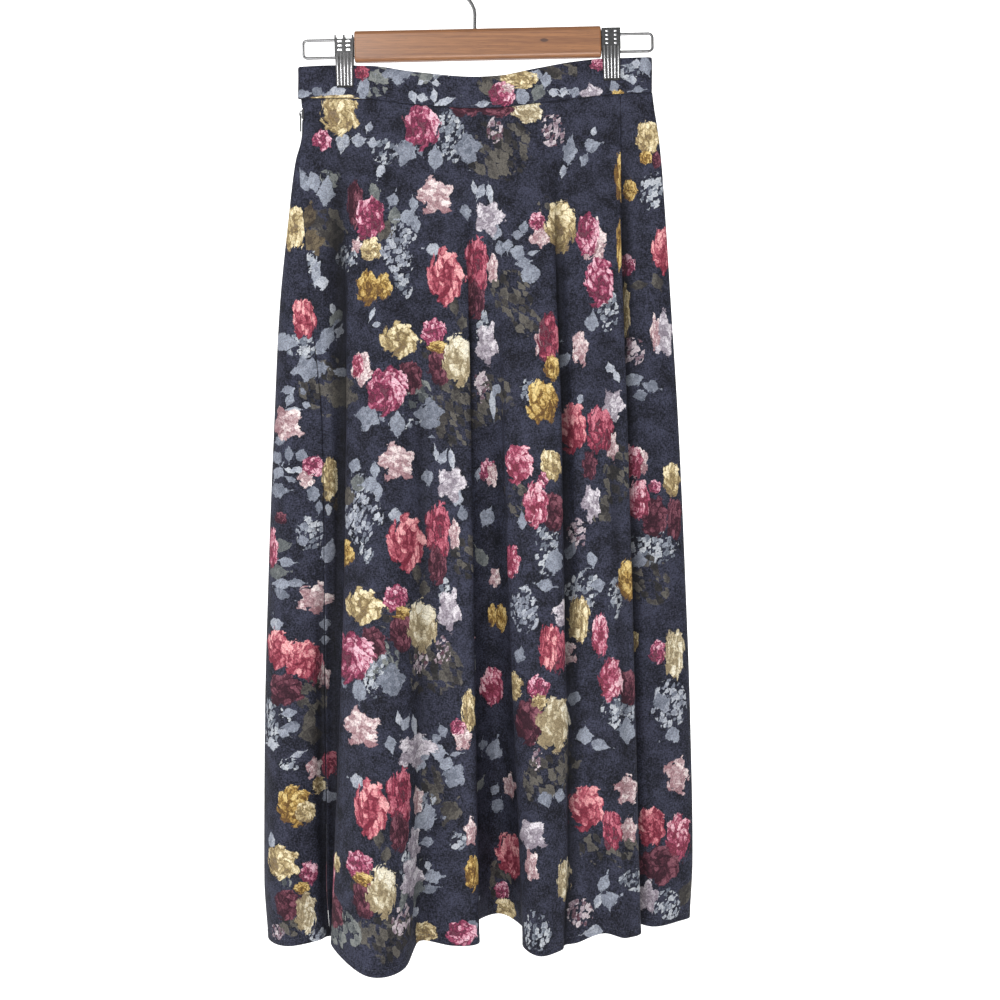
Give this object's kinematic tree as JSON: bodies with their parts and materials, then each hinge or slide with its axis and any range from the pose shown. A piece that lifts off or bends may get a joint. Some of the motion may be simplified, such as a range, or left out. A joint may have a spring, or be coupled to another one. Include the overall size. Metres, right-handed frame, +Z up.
{
  "type": "a-line skirt on a clip hanger",
  "caption": "A-line midi skirt with a flat waistband and a closed side zip, hanging in soft folds from a wooden hanger with spring clips.",
  "frame": {"origin": "where a rail bears, at the inside top of the hanger's hook", "axes": "+X along the waistband to the wearer's left as seen from the front, -Y out of the skirt's front, +Z up"},
  "size_m": [0.4362, 0.247, 0.9997],
  "materials": {
    "printed_cloth": "matt crepe, printed",
    "band_cloth": "matt crepe, printed",
    "zip_tape_cloth": "knitted tape",
    "zip_enamel": "dark enamel",
    "pull_enamel": "dark enamel",
    "beech": "varnished",
    "hook_steel": "plated wire",
    "loop_steel": "plated wire",
    "clip_steel": "plated sheet",
    "jaw_rubber": "matt"
  },
  "bodies": {
    "skirt_on_hanger": {"skirt_front": "printed_cloth", "skirt_back_right": "printed_cloth", "skirt_back_left": "printed_cloth", "waistband": "band_cloth", "zip_tape": "zip_tape_cloth", "zip_slider": "zip_enamel", "hanger_bar": "beech", "hanger_hook": "hook_steel", "loop_left": "loop_steel", "loop_right": "loop_steel", "clip_left_front": "clip_steel", "clip_left_back": "clip_steel", "clip_left_spring": "clip_steel", "clip_left_jaw_front": "jaw_rubber", "clip_left_jaw_back": "jaw_rubber", "clip_right_front": "clip_steel", "clip_right_back": "clip_steel", "clip_right_spring": "clip_steel", "clip_right_jaw_front": "jaw_rubber", "clip_right_jaw_back": "jaw_rubber"},
    "zip_tab": {"zip_pull": "pull_enamel"}
  },
  "joints": [
    {"name": "zip_pull_swing", "type": "hinge", "parent": "skirt_on_hanger", "child": "zip_tab", "pos_m": [-0.17445, 0, -0.16507], "axis": [0, 1, 0], "range_deg": [0, 150]}
  ]
}
